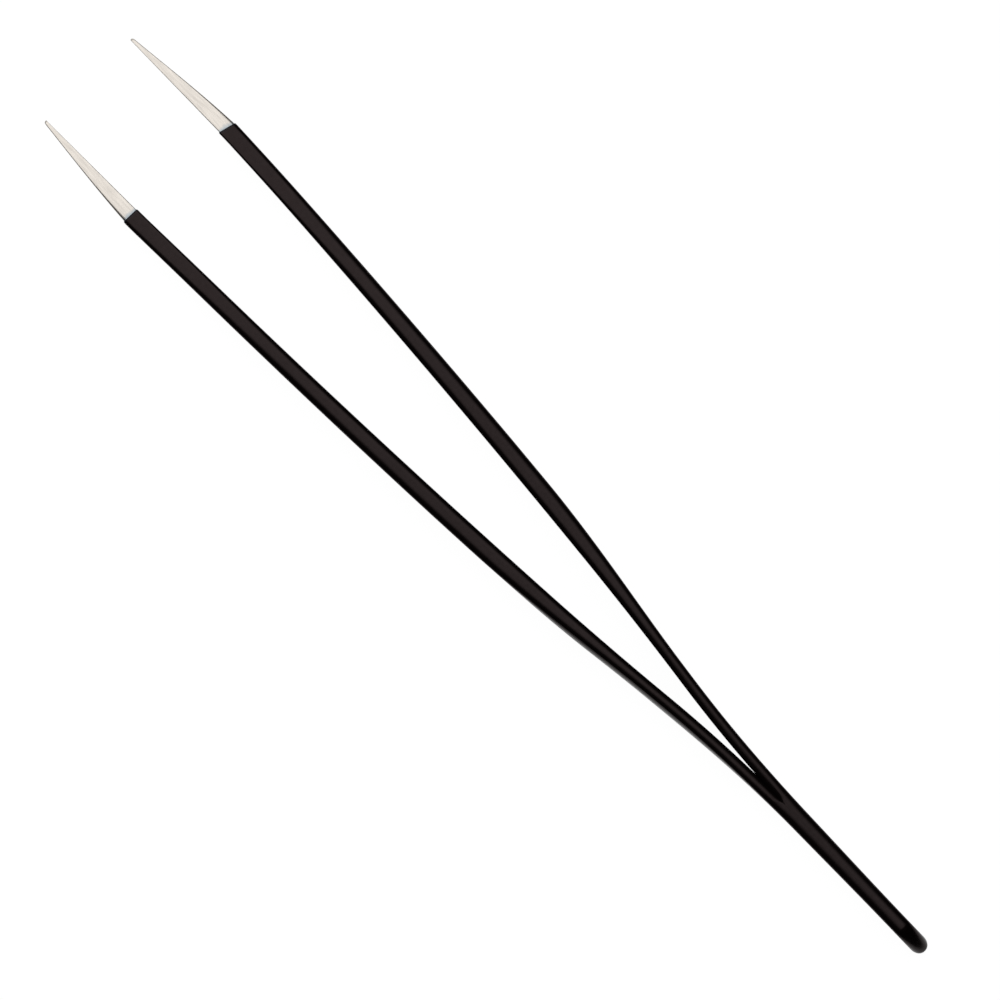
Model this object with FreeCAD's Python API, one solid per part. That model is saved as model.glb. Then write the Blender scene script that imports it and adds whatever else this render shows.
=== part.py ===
"""Pointed tweezers for electronics work, lying on edge as they come to rest.

Two bent and ground stainless steel arms are welded flat to flat at the rear end. A thin black
antistatic coat covers both arms and their weld and stops short of the bare pointed tips.
+X runs from the rear end to the tips, +Y is the way the arms open, and +Z is up, across the
width of the arms. Z = 0 is the surface on which the coated edges rest. Millimetres.
"""

import FreeCAD
import Part

import math
import os

# Length over all, coat included
overall_length = 140.0

# The coat: its thickness, how far the two arms are left bare, and how much its edge slants
coat = 0.12
bare_tip_left = 14.95
bare_tip_right = 15.4
coat_slant_left = 0.0
coat_slant_right = 13.0

# Places along an arm, measured from the steel's rear end
bend_start = 20.8
spring_start = 28.0
bend_end = 41.6
spring_end = 43.0
flat_start = 50.0
bow_middle = 60.0
full_thickness_start = 69.0
full_thickness_end = 76.0
flat_end = 84.0

# Ground tip and its rounded nose, measured back from the point
tip_grind_length = 15.2
grind_start_slope = -0.065
grind_end_slope = -0.115
tip_bend_length = 1.5
nose_length = 0.3
nose_left = 0.45

# Bends of an arm, as angles to the middle plane, and how far the flats are pressed together
flare_angle = 6.75
grip_angle = 4.53
front_angle = 1.8
tip_angle = 0.6
weld_preload = 0.03

# Steel thickness of an arm
rear_thickness = 0.95
spring_thickness = 1.15
grip_thickness = 2.1
front_thickness = 1.95
tip_thickness = 0.36

# Steel width of the arms, seen from the side
rear_width = 7.6
grip_width = 9.4
front_width = 3.3
tip_width = 0.5

# The steel's long edges are ground back: how far each drops below the narrow side's level, and
# how many times further the grinding runs across that side. The coat is rounded over them.
rear_outer_drop = 0.42
spring_outer_drop = 0.27
grip_outer_drop = 0.38
front_outer_drop = 0.2
tip_outer_drop = 0.05
weld_inner_drop = 0.02
spring_inner_drop = 0.25
grip_inner_drop = 0.33
front_inner_drop = 0.06
tip_inner_drop = 0.025
edge_breadth = 2.1
edge_narrowing_start = 98.0
most_ground_off = 0.96

# Spacing of the outlines that the lofts pass through, and where they cross the nose
outline_spacing = 4.5
nose_steps = (0.0, 0.6, 0.9, 1.0)

steel_length = overall_length - coat
tip_start = steel_length - tip_grind_length
nose_start = steel_length - nose_length
rear_radius = rear_width / 2
tip_taper = (tip_width - front_width) / tip_grind_length
chord_growth = 1 + 1 / edge_breadth - math.hypot(1, 1 / edge_breadth)
far = 2 * overall_length
tiny = 1e-6


def eased(x, x0, x1, v0, v1, slope0=0.0, slope1=0.0):
    """Value at x on a smooth curve from v0 at x0 to v1 at x1, with the given end slopes."""
    run = x1 - x0
    t = min(max((x - x0) / run, 0.0), 1.0)
    start = v0 * (1 - t) ** 2 * (1 + 2 * t) + slope0 * run * t * (1 - t) ** 2
    end = v1 * t**2 * (3 - 2 * t) - slope1 * run * t**2 * (1 - t)
    return start + end


def inner_face(x):
    """Distance of an arm's flat inner face from the middle plane.

    The face's slope changes evenly between the knots: the arm bends away from the weld, bows
    slowly back as far as the bare tip, and is straight there.
    """
    knots = [
        (bend_start, 0.0),
        (bend_end, flare_angle),
        (bow_middle, grip_angle),
        (tip_start - tip_bend_length, front_angle),
        (tip_start, tip_angle),
        (steel_length, tip_angle),
    ]
    y = -weld_preload
    for (x0, angle0), (x1, angle1) in zip(knots, knots[1:]):
        run = min(max(x - x0, 0.0), x1 - x0)
        angle = angle0 + (angle1 - angle0) * run / (x1 - x0)
        y += run * math.radians(angle0 + angle) / 2
    return y


def nose(x):
    """Share of the tip's full section that is left in its rounded nose."""
    into = max(x - nose_start, 0.0) / nose_length
    return 1 - (1 - nose_left) * (1 - math.sqrt(max(1 - into**2, 0.0)))


def thickness(x):
    """Steel thickness: thin at the weld and spring, full at the grip, ground down at the tip."""
    if x <= spring_end:
        return eased(x, rear_radius, spring_start, rear_thickness, spring_thickness)
    if x <= full_thickness_end:
        return eased(x, spring_end, full_thickness_start, spring_thickness, grip_thickness)
    if x <= tip_start:
        along = (x - full_thickness_end) / (tip_start - full_thickness_end)
        return grip_thickness + (front_thickness - grip_thickness) * along
    taper = (front_thickness, tip_thickness, grind_start_slope, grind_end_slope)
    return eased(x, tip_start, steel_length, *taper) * nose(x)


def width(x):
    """Steel width, seen from the side: straight along the grip, then tapering to the point."""
    if x <= flat_start:
        return eased(x, rear_radius, flat_start, rear_width, grip_width)
    if x <= tip_start:
        return eased(x, flat_end, tip_start, grip_width, front_width, 0.0, tip_taper)
    return (front_width + tip_taper * (x - tip_start)) * nose(x)


def inner_drop(x):
    """Drop of the steel's two inner long edges, nearly sharp where the arms are welded."""
    if x <= spring_end:
        return eased(x, bend_start, spring_start, weld_inner_drop, spring_inner_drop)
    if x <= edge_narrowing_start:
        return eased(x, spring_end, full_thickness_start, spring_inner_drop, grip_inner_drop)
    if x <= tip_start:
        return eased(x, edge_narrowing_start, tip_start, grip_inner_drop, front_inner_drop)
    return eased(x, tip_start, steel_length, front_inner_drop, tip_inner_drop) * nose(x)


def full_outer_drop(x):
    """Drop of the two outer long edges where the arm is thick enough for it."""
    if x <= spring_end:
        return eased(x, bend_start, spring_start, rear_outer_drop, spring_outer_drop)
    if x <= edge_narrowing_start:
        return eased(x, spring_end, full_thickness_start, spring_outer_drop, grip_outer_drop)
    if x <= tip_start:
        return eased(x, edge_narrowing_start, tip_start, grip_outer_drop, front_outer_drop)
    return eased(x, tip_start, steel_length, front_outer_drop, tip_outer_drop) * nose(x)


def outer_drop(x):
    """Drop of the two outer long edges, limited by the thickness that the inner ones leave."""
    room = most_ground_off * thickness(x) / edge_breadth - inner_drop(x)
    return min(full_outer_drop(x), room)


def closed_outline(x, inner, outer, half, inner_cut, outer_cut, rounded):
    """Closed rectangle that crosses an arm at x, with its corners cut back.

    A cut is given as its lengths along Y and Z. The inner corners are bevelled, and the outer
    ones are either rounded or bevelled.
    """
    corners = [
        (inner, -half, 1, 1, inner_cut, False),
        (outer, -half, -1, 1, outer_cut, rounded),
        (outer, half, -1, -1, outer_cut, rounded),
        (inner, half, 1, -1, inner_cut, False),
    ]
    near = 1 - math.sqrt(0.5)
    cuts = []
    for turn, (y, z, to_y, to_z, (along_y, along_z), is_arc) in enumerate(corners):
        side = FreeCAD.Vector(x, y, z + to_z * along_z)
        edge = FreeCAD.Vector(x, y + to_y * along_y, z)
        ends = (edge, side) if turn % 2 else (side, edge)
        middle = FreeCAD.Vector(x, y + to_y * along_y * near, z + to_z * along_z * near)
        arc = Part.Arc(ends[0], middle, ends[1]).toShape()
        cuts.append(arc if is_arc else Part.makeLine(*ends))
    edges = []
    for cut, following in zip(cuts, cuts[1:] + cuts[:1]):
        edges.append(cut)
        edges.append(Part.makeLine(cut.Vertexes[-1].Point, following.Vertexes[0].Point))
    return Part.Wire(edges)


def arm_outline(x, coated):
    """Outline of the +Y arm at x, of the steel alone or with the coat."""
    skin = coat if coated else 0.0
    inner = inner_face(x)
    inner_fall = inner_drop(x) + skin * chord_growth
    outer_fall = outer_drop(x)
    return closed_outline(
        x,
        inner - skin,
        inner + thickness(x) + skin,
        width(x) / 2 + skin,
        (inner_fall * edge_breadth, inner_fall),
        (outer_fall * edge_breadth + skin, outer_fall + skin),
        coated,
    )


def lofted(places, coated):
    """The arm through the given places, lofted through its outlines."""
    return Part.makeLoft([arm_outline(x, coated) for x in places], True, False)


def spread(x0, x1):
    """Evenly spaced places from x0 to x1, both included."""
    steps = max(4, math.ceil((x1 - x0) / outline_spacing))
    return [x0 + (x1 - x0) * i / steps for i in range(steps + 1)]


def with_ground_flats(solid):
    """The same solid with its top and bottom, which lie level, as true planes."""
    faces = []
    for face in solid.Faces:
        heights = [vertex.Z for vertex in face.Vertexes]
        if max(heights) - min(heights) < tiny:
            outward = FreeCAD.Vector(0, 0, heights[0])
            face = Part.Face(Part.Plane(outward, outward), face.OuterWire)
        faces.append(face)
    return Part.Solid(Part.Shell(faces))


def rear_end(coated):
    """The arm's round rear end: half of the outline after it, turned about its middle."""
    outline = Part.Face(arm_outline(rear_radius, coated))
    above = Part.makeBox(far, 2 * far, far, FreeCAD.Vector(0, -far, 0))
    (upper,) = outline.common(above).Faces
    return upper.revolve(FreeCAD.Vector(rear_radius, 0, 0), FreeCAD.Vector(0, -1, 0), 180)


def arm_body(coated):
    """The whole +Y arm, of the steel alone or with the coat, cut off at the middle plane."""
    pieces = [
        rear_end(coated),
        lofted(spread(rear_radius, flat_start), coated),
        with_ground_flats(lofted(spread(flat_start, flat_end), coated)),
        lofted(spread(flat_end, tip_start), coated),
        lofted(spread(tip_start, nose_start), coated),
        lofted([nose_start + step * nose_length for step in nose_steps], coated),
    ]
    half_space = Part.makeBox(2 * far, far, 2 * far, FreeCAD.Vector(-far, 0, -far))
    return pieces[0].fuse(pieces[1:]).common(half_space)


def beyond_coat(bare_tip, slant):
    """The space past the coat's edge on the +Y arm, where the tip is left bare."""
    edge = steel_length - bare_tip
    middle = FreeCAD.Vector(edge, inner_face(edge) + thickness(edge) / 2, 0)
    reach = 2 * grip_width
    corner = middle - FreeCAD.Vector(0, reach, reach)
    space = Part.makeBox(bare_tip + reach, 2 * reach, 2 * reach, corner)
    space.rotate(middle, FreeCAD.Vector(0, 0, 1), slant)
    return space


def mirrored(shape):
    """The same shape on the other side of the middle plane."""
    return shape.mirror(FreeCAD.Vector(0, 0, 0), FreeCAD.Vector(0, 1, 0))


def make_nodes():
    """Each piece of the tweezers by name, in its place on the surface."""
    arm = arm_body(coated=False)
    grown = arm_body(coated=True)
    left_skin = grown.cut([beyond_coat(bare_tip_left, coat_slant_left), arm])
    right_skin = mirrored(grown.cut([beyond_coat(bare_tip_right, coat_slant_right), arm]))
    nodes = {
        "arm_left": arm,
        "arm_right": mirrored(arm),
        "grip_coating": left_skin.fuse(right_skin),
    }
    to_middle = (coat - steel_length) / 2
    to_surface = grip_width / 2 + coat
    for name, shape in nodes.items():
        (solid,) = shape.Solids
        nodes[name] = solid.translated(FreeCAD.Vector(to_middle, 0, to_surface))
    return nodes


def main():
    os.makedirs("parts", exist_ok=True)
    for name, solid in make_nodes().items():
        solid.exportStep(os.path.join("parts", name + ".step"))
        print(name, "valid", solid.isValid(), "volume", round(solid.Volume, 3))


main()
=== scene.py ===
"""Pointed tweezers with a black coat and bare steel tips, lying on edge and seen from above.

The meshes follow nearly the same laws as the solids, with small departures that the photo's
shading suggests. Places along an arm are in millimetres from the steel's rear end, and become
metres in the frame when a mesh is made.
"""

import math

import bmesh
import bpy
from mathutils import Matrix, Vector


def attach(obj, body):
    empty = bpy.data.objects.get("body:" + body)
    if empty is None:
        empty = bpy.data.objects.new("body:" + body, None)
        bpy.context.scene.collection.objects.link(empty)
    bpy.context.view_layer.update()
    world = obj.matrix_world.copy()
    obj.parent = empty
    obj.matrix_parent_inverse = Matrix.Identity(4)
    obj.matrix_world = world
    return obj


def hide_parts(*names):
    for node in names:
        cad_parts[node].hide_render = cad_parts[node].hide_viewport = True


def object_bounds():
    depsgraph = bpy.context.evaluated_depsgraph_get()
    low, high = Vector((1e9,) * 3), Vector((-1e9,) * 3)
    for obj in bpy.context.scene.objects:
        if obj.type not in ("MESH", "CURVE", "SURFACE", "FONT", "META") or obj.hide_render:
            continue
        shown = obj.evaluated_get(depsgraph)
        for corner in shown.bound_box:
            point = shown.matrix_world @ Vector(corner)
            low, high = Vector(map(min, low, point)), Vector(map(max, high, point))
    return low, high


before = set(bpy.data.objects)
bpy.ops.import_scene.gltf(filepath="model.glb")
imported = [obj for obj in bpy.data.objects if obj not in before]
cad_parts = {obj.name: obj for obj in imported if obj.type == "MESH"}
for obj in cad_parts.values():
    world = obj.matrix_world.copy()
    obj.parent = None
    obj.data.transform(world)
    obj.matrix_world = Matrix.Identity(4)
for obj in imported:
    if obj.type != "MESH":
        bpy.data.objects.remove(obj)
cad_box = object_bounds()

# One millimetre in Blender's metres
mm = 0.001

# Length over all and thickness of the coat, how far the two arms are left bare, and how much the
# coat's edge slants on each
overall_length = 140.0
coat = 0.12
bare_tip = {"left": 14.75, "right": 15.15}
coat_slant = {"left": 0.0, "right": -math.tan(math.radians(13.0))}

# Places along an arm, measured from the steel's rear end. The groove between the joined arms opens
# from groove_start to groove_full.
bend_start = 20.8
groove_start = 23.3
groove_full = 24.8
spring_start = 28.0
bend_end = 41.6
spring_end = 43.0
flat_start = 50.0
bow_middle = 60.0
full_thickness_start = 69.0
full_thickness_end = 76.0
flat_end = 84.0

# Ground tip and its rounded nose, measured back from the point
tip_grind_length = 15.2
grind_start_slope = -0.065
grind_end_slope = -0.115
tip_bend_length = 1.5
nose_length = 0.3
nose_left = 0.45

# Bends of an arm, as angles to the middle plane, and how far the flats are pressed together
flare_angle = 6.75
grip_angle = 4.53
front_angle = 1.9
tip_angle = 0.6
weld_preload = 0.03

# Steel thickness and width of an arm
rear_thickness = 0.97
spring_thickness = 1.18
grip_thickness = 2.1
front_thickness = 1.95
tip_thickness = 0.36
rear_width = 7.6
grip_width = 9.4
front_width = 3.3
tip_width = 0.5

# Rear end: its depth, the share of its height left blunt at the very rear, the power of its
# profile, and how many times further its outer edges are ground back there
rear_depth = 3.75
rear_blunt = 0.34
rear_power = 1.48
rear_stretch = 2.3

# Roundings of the steel's long edges, outer and inner: their drop, and how many times broader than
# that they are. The coat follows them.
rear_outer_drop = 0.42
spring_outer_drop = 0.27
grip_outer_drop = 0.38
front_outer_drop = 0.2
tip_outer_drop = 0.05
tip_drop_slope = -0.03
weld_inner_drop = 0.02
spring_inner_drop = 0.31
grip_inner_drop = 0.3
front_inner_drop = 0.05
tip_inner_drop = 0.025
edge_breadth = 2.1
edge_narrowing_start = 98.0

# The +Y arm's outer face stands out a little below its edges in the springy part
swell = 0.33
swell_start_drop = 0.2
swell_full_drop = 0.9
swell_start = 20.0
swell_full_start = 42.0
swell_full_end = 52.0
swell_end = 68.0

# Both points lie a little towards +Y, as the photo shows
lean = 0.33
lean_start = 112.0
lean_slope = 0.0135

# How the meshes are divided, and how near corners are welded
station_spacing = 0.4
edge_station_spacing = 0.1
side_steps = 3
side_edge = 0.4
outer_arc_steps = 10
top_steps = 4
inner_arc_steps = 8
rear_steps = 28
nose_steps = 8
rim_steps = 6
weld_distance = 0.0005
shortest_edge = 0.0002
place_tolerance = 1e-6

# Angles in degrees above which an edge is shaded sharp
steel_sharp_angle = 35
coat_sharp_angle = 50

# The coat's front rim, and the stretch over which its edge turns from square to slanted
rim_length = 0.14
slant_start = 4.0
slant_full = 1.0

# The round soft light overhead: its direction, edge and level, and the dim room's level
overhead_direction = (0.13, -0.13, 1.0)
overhead_inner = math.radians(9.0)
overhead_outer = math.radians(28.0)
overhead_level = 1.92
room_level = 0.04

# The round soft lamp beyond the tips: its distance and radius are in metres
lamp_direction = (1.0, 0.0, 1.0)
lamp_distance = 2.5
lamp_radius = 1.35
lamp_watts = 15.0
lamp_colour = (1.0, 0.98, 0.96)

# The camera: what it looks at, how far above that it is, which way is right in the picture, and
# its lens
camera_target = (1.80, -0.536, 4.82)
camera_distance = 1500
camera_right = (-0.69102, -0.72284, 0.0)
camera_lens = 465.6
camera_sensor = 36.0

# The floor: its reach in metres, its own colour, and the plain white that is seen of it
floor_reach = 4.0
floor_colour = (0.8, 0.8, 0.8, 1)
floor_roughness = 0.9
floor_white_share = 0.85
floor_white_level = 1.14

# The middle range of a noise, which the materials spread over their own range
noise_low = 0.3
noise_high = 0.7

# Ragged reach of the painted cool reflection along the coat's edge, in features a metre and as a
# factor on the distance to it
ragged_scale = 1300.0
ragged_least = 0.7
ragged_most = 1.5

# Finish of the coat, and the painted cool reflection along its edge: noise in features a metre,
# and bump and reach in millimetres
coat_specular = 0.2
coat_tint = (1.0, 0.77, 0.77, 1)
coat_dark = (0.0010, 0.0005, 0.0005, 1)
coat_light = (0.0017, 0.0009, 0.0009, 1)
coat_uneven_scale = 260.0
coat_uneven_stretch = (0.35, 1.0, 1.0)
coat_grain_scale = 2400.0
coat_smoothest = 0.25
coat_roughest = 0.31
coat_bump = 0.004
# Painted reflection: a cool navy tint on the coat along its edge, and how far it reaches
coat_edge_reflection = (0.002, 0.010, 0.020, 1)
coat_edge_reflection_reach = 0.35

# Finish of the bare steel, and the painted cool reflection next to the coat's edge, in the same
# units
steel_dark = (0.48, 0.448, 0.41, 1)
steel_light = (0.53, 0.495, 0.455, 1)
steel_lines_scale = 5200.0
steel_lines_stretch = (0.04, 1.0, 1.0)
steel_smoothest = 0.26
steel_roughest = 0.36
steel_bump = 0.0006
# Painted reflection: a cool bluish band on the steel next to the coat's edge, and how far it
# reaches
steel_edge_reflection = (0.25, 0.29, 0.32, 1)
steel_edge_reflection_reach = 0.5

steel_length = overall_length - coat
tip_start = steel_length - tip_grind_length
nose_start = steel_length - nose_length
tip_taper = (tip_width - front_width) / tip_grind_length
to_middle = (coat - steel_length) / 2
to_surface = grip_width / 2 + coat


def eased(x, x0, x1, v0, v1, slope0=0.0, slope1=0.0):
    """Value at x on a smooth curve from v0 at x0 to v1 at x1, with the given end slopes."""
    run = x1 - x0
    t = min(max((x - x0) / run, 0.0), 1.0)
    start = v0 * (1 - t) ** 2 * (1 + 2 * t) + slope0 * run * t * (1 - t) ** 2
    end = v1 * t**2 * (3 - 2 * t) - slope1 * run * t**2 * (1 - t)
    return start + end


def inner_face(x):
    """Distance of an arm's flat inner face from the middle plane."""
    knots = [
        (bend_start, 0.0),
        (bend_end, flare_angle),
        (bow_middle, grip_angle),
        (tip_start - tip_bend_length, front_angle),
        (tip_start, tip_angle),
        (steel_length, tip_angle),
    ]
    y = -weld_preload
    for (x0, angle0), (x1, angle1) in zip(knots, knots[1:]):
        run = min(max(x - x0, 0.0), x1 - x0)
        angle = angle0 + (angle1 - angle0) * run / (x1 - x0)
        y += run * math.radians(angle0 + angle) / 2
    return y


def nose(x):
    """Share of the tip's full section that is left in its rounded nose."""
    into = max(x - nose_start, 0.0) / nose_length
    return 1 - (1 - nose_left) * (1 - math.sqrt(max(1 - into**2, 0.0)))


def thickness(x):
    """Steel thickness: thin at the weld and spring, full at the grip, ground down at the tip."""
    if x <= spring_end:
        return eased(x, rear_depth, spring_start, rear_thickness, spring_thickness)
    if x <= full_thickness_end:
        return eased(x, spring_end, full_thickness_start, spring_thickness, grip_thickness)
    if x <= tip_start:
        along = (x - full_thickness_end) / (tip_start - full_thickness_end)
        return grip_thickness + (front_thickness - grip_thickness) * along
    taper = (front_thickness, tip_thickness, grind_start_slope, grind_end_slope)
    return eased(x, tip_start, steel_length, *taper) * nose(x)


def width(x):
    """Steel width, seen from the side: straight along the grip, then tapering to the point."""
    if x <= flat_start:
        return eased(x, rear_depth, flat_start, rear_width, grip_width)
    if x <= tip_start:
        return eased(x, flat_end, tip_start, grip_width, front_width, 0.0, tip_taper)
    return (front_width + tip_taper * (x - tip_start)) * nose(x)


def outer_drop(x):
    """Drop of the steel's outer long edges, which get sharper towards the tip."""
    if x <= spring_end:
        return eased(x, bend_start, spring_start, rear_outer_drop, spring_outer_drop)
    if x <= edge_narrowing_start:
        return eased(x, spring_end, full_thickness_start, spring_outer_drop, grip_outer_drop)
    if x <= tip_start:
        return eased(x, edge_narrowing_start, tip_start, grip_outer_drop, front_outer_drop)
    drop = eased(x, tip_start, steel_length, front_outer_drop, tip_outer_drop, tip_drop_slope)
    return drop * nose(x)


def inner_drop(x):
    """Drop of the steel's inner long edges, nearly sharp where the arms are welded."""
    if x <= spring_end:
        return eased(x, groove_start, groove_full, weld_inner_drop, spring_inner_drop)
    if x <= edge_narrowing_start:
        return eased(x, spring_end, full_thickness_start, spring_inner_drop, grip_inner_drop)
    if x <= tip_start:
        return eased(x, edge_narrowing_start, tip_start, grip_inner_drop, front_inner_drop)
    return eased(x, tip_start, steel_length, front_inner_drop, tip_inner_drop) * nose(x)


def half_outline(x, skin, outer_stretch=1.0):
    """Upper half of the +Y arm's outline at x, as (y, distance from the middle line).

    It runs from the middle of the outer face over the top edge to the middle of the inner face,
    and stops at the middle plane where the other arm begins.
    """
    inner = inner_face(x) - skin
    outer = inner_face(x) + thickness(x) + skin
    half = width(x) / 2 + skin
    outer_fall = (outer_drop(x) + skin) * outer_stretch
    outer_breadth = outer_drop(x) * edge_breadth + skin
    inner_fall = inner_drop(x) + skin
    inner_breadth = inner_drop(x) * edge_breadth + skin
    flat_end_y = max(inner + inner_breadth, 0.0)
    turn = math.pi / 2
    if inner < 0:
        turn = math.asin(min(flat_end_y / inner_breadth, 1.0))
    points = []
    side_end = max(half - outer_fall - side_edge, half / 2)
    for step in range(side_steps + 1):
        points.append((outer, side_end * step / side_steps))
    for step in range(outer_arc_steps):
        angle = math.pi / 2 * step / outer_arc_steps
        y = outer - outer_breadth * (1 - math.cos(angle))
        points.append((y, half - outer_fall * (1 - math.sin(angle))))
    for step in range(top_steps):
        flat = outer - outer_breadth - flat_end_y
        points.append((flat_end_y + flat * (1 - step / top_steps), half))
    for step in range(inner_arc_steps):
        angle = turn * step / inner_arc_steps
        y = inner + inner_breadth * (1 - math.sin(angle))
        if inner + inner_breadth < 0:
            y = 0.0
        points.append((y, half - inner_fall * (1 - math.cos(angle))))
    for step in range(side_steps + 1):
        reach = half - inner_fall * (1 - math.cos(turn))
        points.append((max(inner, 0.0), reach * (1 - step / side_steps)))
    return points


def slanted(x, point, slant, edge):
    """Place of a point of the outline at x once the outline leans to run along the coat's edge."""
    middle = inner_face(edge) + thickness(edge) / 2
    share = eased(edge - x, slant_full, slant_start, 1.0, 0.0)
    return x + slant * share * (point[0] - middle)


def station(x, skin, slant=0.0, edge=0.0):
    """Closed outline of the +Y arm at x, as points in millimetres of the steel's own frame."""
    half = half_outline(x, skin)
    placed = [(x, y, reach) for y, reach in half]
    if slant:
        placed = []
        for index, point in enumerate(half):
            there = slanted(x, point, slant, edge)
            placed.append((there, *half_outline(there, skin)[index]))
    lower = [(px, y, -reach) for px, y, reach in placed[-2:0:-1]]
    return placed + lower


def rear_station(turn, skin, rearmost=False):
    """Outline of the rear end, turned by the given angle from upright towards the rear.

    The rearmost one is flattened to a line, which closes the surface.
    """
    stretch = 1 + (rear_stretch - 1) * math.sin(turn) ** 2
    half = half_outline(rear_depth, skin, stretch)
    back = math.sin(turn) ** rear_power * (rear_depth + skin) / (rear_width / 2 + skin)
    up = rear_blunt + (1 - rear_blunt) * max(math.cos(turn), 0.0) ** rear_power
    if rearmost:
        up = 0.0
    upper = [(rear_depth - reach * back, y, reach * up) for y, reach in half]
    return upper + [(x, y, -z) for x, y, z in upper[-2:0:-1]]


def places(x0, x1, spacing):
    """Evenly spaced places from x0 to x1, with x1 left out."""
    steps = max(1, math.ceil((x1 - x0) / spacing))
    return [x0 + (x1 - x0) * step / steps for step in range(steps)]


def crotch(skin):
    """Place where the arms, under the given skin, come apart."""
    low, high = bend_start, bow_middle
    while high - low > place_tolerance:
        middle = (low + high) / 2
        if inner_face(middle) > skin:
            high = middle
        else:
            low = middle
    return high


def rear_stations(skin):
    """Outlines round the rear end, from its rearmost line to upright."""
    turns = [math.pi / 2 * (1 - step / rear_steps) for step in range(rear_steps)]
    return [rear_station(turns[0], skin, True)] + [rear_station(turn, skin) for turn in turns]


def arm_stations():
    """Outlines of the bare steel from the rear end to the point."""
    loops = rear_stations(0.0)
    along = places(rear_depth, crotch(0.0), station_spacing)
    along += places(crotch(0.0), tip_start, station_spacing)
    along += places(tip_start, tip_start + slant_start, edge_station_spacing)
    along += places(tip_start + slant_start, nose_start, station_spacing)
    for step in range(nose_steps + 1):
        along.append(nose_start + nose_length * math.sin(math.pi / 2 * step / nose_steps))
    return loops + [station(x, 0.0) for x in along]


def coat_stations(skin, side):
    """Outlines of the coat's outer or inner surface, from the rear end to its edge."""
    edge = steel_length - bare_tip[side]
    slant = coat_slant[side]
    loops = rear_stations(skin)
    along = places(rear_depth, crotch(skin), station_spacing)
    along += places(crotch(skin), edge - slant_start, station_spacing)
    along += places(edge - slant_start, edge - rim_length, station_spacing / 2)
    loops += [station(x, skin, slant, edge) for x in along]
    for step in range(rim_steps + 1):
        turn = math.pi / 2 * step / rim_steps
        x = edge - rim_length * (1 - math.sin(turn))
        loops.append(station(x, skin * math.cos(turn), slant, edge))
    return loops


def swollen(x, y, z):
    """A point of the +Y arm once its outer face stands out in the springy part."""
    if y < inner_face(x) + thickness(x) / 2:
        return x, y, z
    along = eased(x, swell_start, swell_full_start, 0.0, 1.0)
    along *= eased(x, swell_full_end, swell_end, 1.0, 0.0)
    below = (width(x) / 2 - abs(z) - swell_start_drop) / (swell_full_drop - swell_start_drop)
    return x, y + swell * along * min(max(below, 0.0), 1.0), z


def leaning(x):
    """How far both arms lie towards +Y at x."""
    return eased(x, lean_start, steel_length, 0.0, lean, 0.0, lean_slope)


def from_coat_edge(x, y, mirror):
    """Distance along an arm from a point to the coat's edge."""
    name = "right" if mirror else "left"
    edge = steel_length - bare_tip[name]
    middle = inner_face(edge) + thickness(edge) / 2
    return abs(x - edge - coat_slant[name] * (y - middle))


def add_skin(mesh, loops, mirror, inward):
    """Adds the surface through the outlines to a bmesh, on the +Y side or mirrored to -Y.

    Each corner keeps its distance to the coat's edge, for the materials.
    """
    distance = mesh.verts.layers.float.get("from_edge")
    if distance is None:
        distance = mesh.verts.layers.float.new("from_edge")
    side = -1 if mirror else 1
    rings = []
    for loop in loops:
        ring = []
        for point in loop:
            x, y, z = point if mirror else swollen(*point)
            place = Vector((x + to_middle, side * y + leaning(x), z + to_surface)) * mm
            corner = mesh.verts.new(place)
            corner[distance] = from_coat_edge(x, y, mirror)
            ring.append(corner)
        rings.append(ring)
    flip = mirror != inward
    for ring, following in zip(rings, rings[1:]):
        for index in range(len(ring)):
            after = (index + 1) % len(ring)
            corners = [ring[index], ring[after], following[after], following[index]]
            mesh.faces.new(corners if flip else corners[::-1])
    return rings


def close_end(mesh, ring, mirror):
    """Closes the last outline with one flat face."""
    mesh.faces.new(ring[::-1] if mirror else ring)


def drop_middle_faces(mesh):
    """Deletes the faces that lie in the middle plane, so that the two halves join into one."""
    tolerance = 1e-9
    middle = [face for face in mesh.faces if all(abs(v.co.y) < tolerance for v in face.verts)]
    bmesh.ops.delete(mesh, geom=middle, context="FACES")


def finished(name, mesh, sharp_angle):
    """An object from a bmesh, with doubled corners welded and its flats shaded flat."""
    bmesh.ops.remove_doubles(mesh, verts=mesh.verts, dist=weld_distance * mm)
    bmesh.ops.dissolve_degenerate(mesh, edges=mesh.edges, dist=shortest_edge * mm)
    bmesh.ops.recalc_face_normals(mesh, faces=mesh.faces)
    data = bpy.data.meshes.new(name)
    mesh.to_mesh(data)
    mesh.free()
    data.shade_smooth()
    data.set_sharp_from_angle(angle=math.radians(sharp_angle))
    piece = bpy.data.objects.new(name, data)
    bpy.context.scene.collection.objects.link(piece)
    weighted = piece.modifiers.new("flats", "WEIGHTED_NORMAL")
    weighted.keep_sharp = True
    weighted.weight = 100
    return piece


def make_arm(side):
    """One steel arm, from the rear end to the point."""
    mesh = bmesh.new()
    mirror = side == "right"
    rings = add_skin(mesh, arm_stations(), mirror, False)
    close_end(mesh, rings[-1], mirror)
    return finished("steel_arm_" + side, mesh, steel_sharp_angle)


def make_coat():
    """The coat over both arms: its outer and inner surface, joined at the two front rims."""
    mesh = bmesh.new()
    for side in ("left", "right"):
        mirror = side == "right"
        add_skin(mesh, coat_stations(coat, side), mirror, False)
        add_skin(mesh, coat_stations(0.0, side), mirror, True)
    drop_middle_faces(mesh)
    return finished("black_coat", mesh, coat_sharp_angle)


def new_material(name):
    """A material with its node tree, and its surface shader."""
    material = bpy.data.materials.new(name)
    material.use_nodes = True
    nodes = material.node_tree.nodes
    return material, nodes, material.node_tree.links, nodes["Principled BSDF"]


def node(nodes, kind, **settings):
    """A new shader node of the given kind, with its settings."""
    made = nodes.new("ShaderNode" + kind)
    for name, value in settings.items():
        setattr(made, name, value)
    return made


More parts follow.
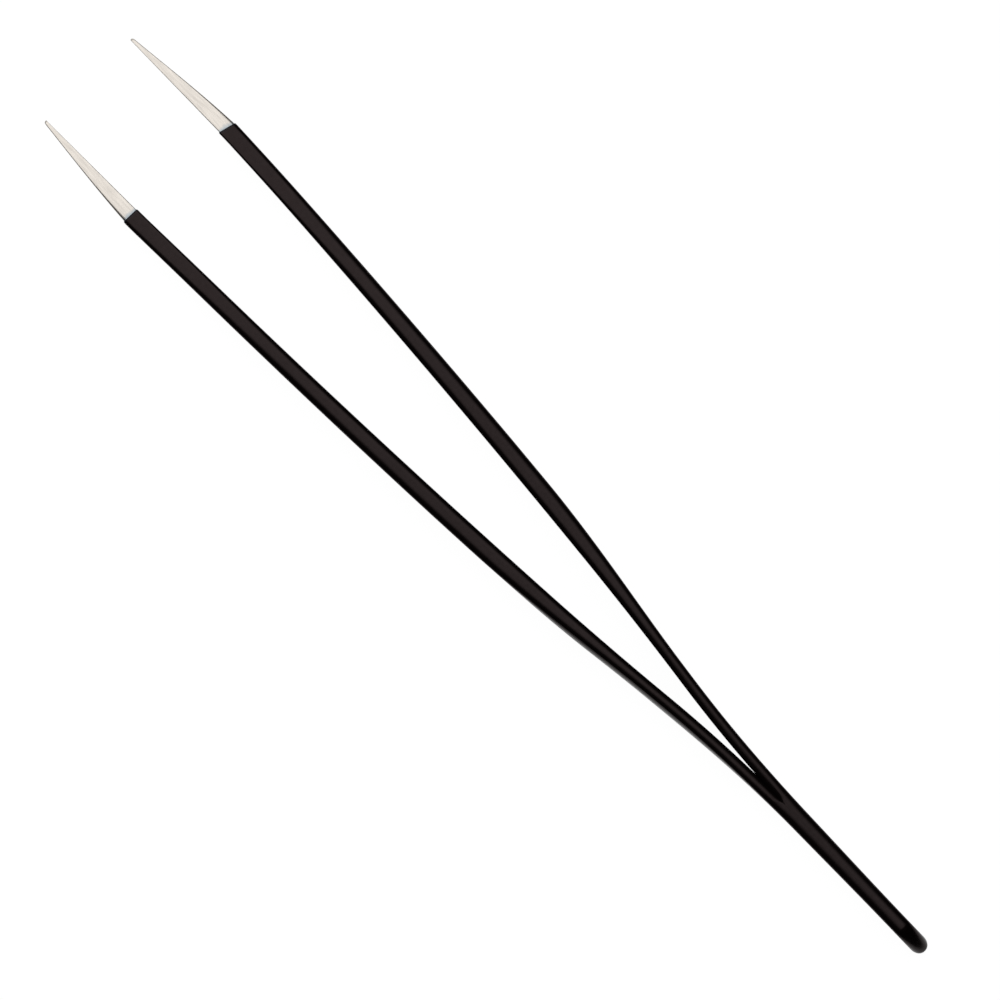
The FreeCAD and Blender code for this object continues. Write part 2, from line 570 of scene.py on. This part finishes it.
def object_noise(nodes, links, scale, detail, stretch=(1, 1, 1)):
    """Noise in object space, in features per metre, stretched along the axes."""
    place = node(nodes, "TexCoord")
    mapping = node(nodes, "Mapping")
    mapping.inputs["Scale"].default_value = stretch
    noise = node(nodes, "TexNoise")
    noise.inputs["Scale"].default_value = scale
    noise.inputs["Detail"].default_value = detail
    links.new(place.outputs["Object"], mapping.inputs["Vector"])
    links.new(mapping.outputs["Vector"], noise.inputs["Vector"])
    return noise.outputs["Fac"]


def ranged(nodes, links, source, low, high, out_low, out_high):
    """The source's range low..high mapped to out_low..out_high."""
    found = node(nodes, "MapRange")
    links.new(source, found.inputs["Value"])
    for name, value in (
        ("From Min", low),
        ("From Max", high),
        ("To Min", out_low),
        ("To Max", out_high),
    ):
        found.inputs[name].default_value = value
    return found.outputs["Result"]


def mixed(nodes, links, share, first, second):
    """A colour mixed from two colours by a share."""
    mix = node(nodes, "Mix", data_type="RGBA")
    links.new(share, mix.inputs["Factor"])
    mix.inputs["A"].default_value = first
    mix.inputs["B"].default_value = second
    return mix.outputs["Result"]


def painted_edge_reflection(nodes, links, colour, reflection_colour, reach):
    """The colour, turning to a painted reflection in the given ragged reach of the coat's edge."""
    distance = node(nodes, "Attribute", attribute_name="from_edge")
    noise = object_noise(nodes, links, ragged_scale, 2.0)
    ragged = ranged(nodes, links, noise, noise_low, noise_high, ragged_least, ragged_most)
    spread = node(nodes, "Math", operation="MULTIPLY")
    links.new(distance.outputs["Fac"], spread.inputs[0])
    links.new(ragged, spread.inputs[1])
    near = ranged(nodes, links, spread.outputs[0], 0.0, reach, 1.0, 0.0)
    mix = node(nodes, "Mix", data_type="RGBA")
    links.new(near, mix.inputs["Factor"])
    links.new(colour, mix.inputs["A"])
    mix.inputs["B"].default_value = reflection_colour
    return mix.outputs["Result"]


def bumped(nodes, links, shader, height, distance):
    """Bump of the given height in metres on a shader."""
    bump = node(nodes, "Bump")
    bump.inputs["Distance"].default_value = distance
    links.new(height, bump.inputs["Height"])
    links.new(bump.outputs["Normal"], shader.inputs["Normal"])


def coat_material():
    """Black baked coat: a low sheen, fine orange peel and slight unevenness."""
    material, nodes, links, shader = new_material("black_baked_coat")
    shader.inputs["Specular IOR Level"].default_value = coat_specular
    shader.inputs["Specular Tint"].default_value = coat_tint
    uneven = object_noise(nodes, links, coat_uneven_scale, 3.0, coat_uneven_stretch)
    colour = mixed(nodes, links, uneven, coat_dark, coat_light)
    # Painted reflection: a cool navy tint along the coat's edge
    colour = painted_edge_reflection(nodes, links, colour, coat_edge_reflection, coat_edge_reflection_reach)
    links.new(colour, shader.inputs["Base Color"])
    grain = object_noise(nodes, links, coat_grain_scale, 2.0)
    rough = ranged(nodes, links, grain, noise_low, noise_high, coat_smoothest, coat_roughest)
    links.new(rough, shader.inputs["Roughness"])
    bumped(nodes, links, shader, grain, coat_bump * mm)
    return material


def steel_material():
    """Finely ground stainless steel, with grinding lines along the tip."""
    material, nodes, links, shader = new_material("ground_steel")
    shader.inputs["Metallic"].default_value = 1.0
    lines = object_noise(nodes, links, steel_lines_scale, 3.0, steel_lines_stretch)
    colour = mixed(nodes, links, lines, steel_dark, steel_light)
    # Painted reflection: a cool bluish band on the steel next to the coat's edge
    colour = painted_edge_reflection(nodes, links, colour, steel_edge_reflection, steel_edge_reflection_reach)
    links.new(colour, shader.inputs["Base Color"])
    rough = ranged(nodes, links, lines, noise_low, noise_high, steel_smoothest, steel_roughest)
    links.new(rough, shader.inputs["Roughness"])
    bumped(nodes, links, shader, lines, steel_bump * mm)
    return material


def floor_material():
    """White floor: it looks plain white, and keeps a soft trace of the shadow."""
    material, nodes, links, shader = new_material("white_floor")
    shader.inputs["Base Color"].default_value = floor_colour
    shader.inputs["Roughness"].default_value = floor_roughness
    shader.inputs["Specular IOR Level"].default_value = 0.0
    seen = node(nodes, "LightPath")
    glossy = node(nodes, "Math", operation="MAXIMUM")
    either = node(nodes, "Math", operation="MAXIMUM")
    links.new(seen.outputs["Is Camera Ray"], glossy.inputs[0])
    links.new(seen.outputs["Is Glossy Ray"], glossy.inputs[1])
    links.new(glossy.outputs[0], either.inputs[0])
    links.new(seen.outputs["Is Transmission Ray"], either.inputs[1])
    share = node(nodes, "Math", operation="MULTIPLY")
    share.inputs[1].default_value = floor_white_share
    links.new(either.outputs[0], share.inputs[0])
    white = node(nodes, "Emission")
    white.inputs["Strength"].default_value = floor_white_level
    mix = node(nodes, "MixShader")
    links.new(share.outputs[0], mix.inputs["Fac"])
    links.new(shader.outputs["BSDF"], mix.inputs[1])
    links.new(white.outputs["Emission"], mix.inputs[2])
    links.new(mix.outputs[0], nodes["Material Output"].inputs["Surface"])
    return material


def dress(piece, material, slot, *replaced):
    """Gives a piece its material, its body and the CAD nodes that it stands for."""
    piece.data.materials.append(material)
    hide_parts(*replaced)
    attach(piece, "root")


def make_floor():
    """The pale floor under the tweezers."""
    reach = floor_reach
    mesh = bmesh.new()
    corners = [(-reach, -reach), (reach, -reach), (reach, reach), (-reach, reach)]
    mesh.faces.new([mesh.verts.new((x, y, cad_box[0].z)) for x, y in corners])
    data = bpy.data.meshes.new("floor")
    mesh.to_mesh(data)
    mesh.free()
    floor = bpy.data.objects.new("floor", data)
    bpy.context.scene.collection.objects.link(floor)
    data.materials.append(floor_material())


def make_world():
    """The studio round the object: dim, with one round soft light above it."""
    world = bpy.data.worlds.new("studio")
    bpy.context.scene.world = world
    world.use_nodes = True
    nodes = world.node_tree.nodes
    links = world.node_tree.links
    place = node(nodes, "TexCoord")
    nearness = node(nodes, "VectorMath", operation="DOT_PRODUCT")
    nearness.inputs[1].default_value = Vector(overhead_direction).normalized()
    links.new(place.outputs["Generated"], nearness.inputs[0])
    level = ranged(
        nodes,
        links,
        nearness.outputs["Value"],
        math.cos(overhead_outer),
        math.cos(overhead_inner),
        room_level,
        overhead_level,
    )
    nodes["Background"].inputs["Color"].default_value = (1, 1, 1, 1)
    links.new(level, nodes["Background"].inputs["Strength"])


def make_lamp():
    """The lamp beyond the tips, which the long edges don't mirror upwards."""
    data = bpy.data.lights.new("lamp_beyond_tips", "AREA")
    data.shape = "DISK"
    data.size = 2 * lamp_radius
    data.energy = lamp_watts
    data.color = lamp_colour
    lamp = bpy.data.objects.new("lamp_beyond_tips", data)
    lamp.location = Vector(lamp_direction).normalized() * lamp_distance
    lamp.rotation_mode = "QUATERNION"
    lamp.rotation_quaternion = Vector(lamp_direction).to_track_quat("Z", "Y")
    bpy.context.scene.collection.objects.link(lamp)


def make_camera():
    """The camera, which looks down on the tweezers from far above."""
    target = Vector(camera_target) * mm
    distance = camera_distance * mm
    back = Vector((0.0, 0.0, 1.0))
    right = Vector(camera_right).normalized()
    up = back.cross(right)
    data = bpy.data.cameras.new("camera")
    data.sensor_width = camera_sensor
    data.lens = camera_lens
    data.clip_start = 0.01
    data.clip_end = 20.0
    camera = bpy.data.objects.new("camera", data)
    turned = Matrix((right, up, back)).transposed().to_4x4()
    camera.matrix_world = Matrix.Translation(target + back * distance) @ turned
    bpy.context.scene.collection.objects.link(camera)
    bpy.context.scene.camera = camera


make_camera()
steel = steel_material()
dress(make_arm("left"), steel, "steel", "arm_left")
dress(make_arm("right"), steel, "steel", "arm_right")
dress(make_coat(), coat_material(), "coating", "grip_coating")
make_floor()
make_world()
make_lamp()
bpy.context.scene.view_settings.view_transform = "Standard"
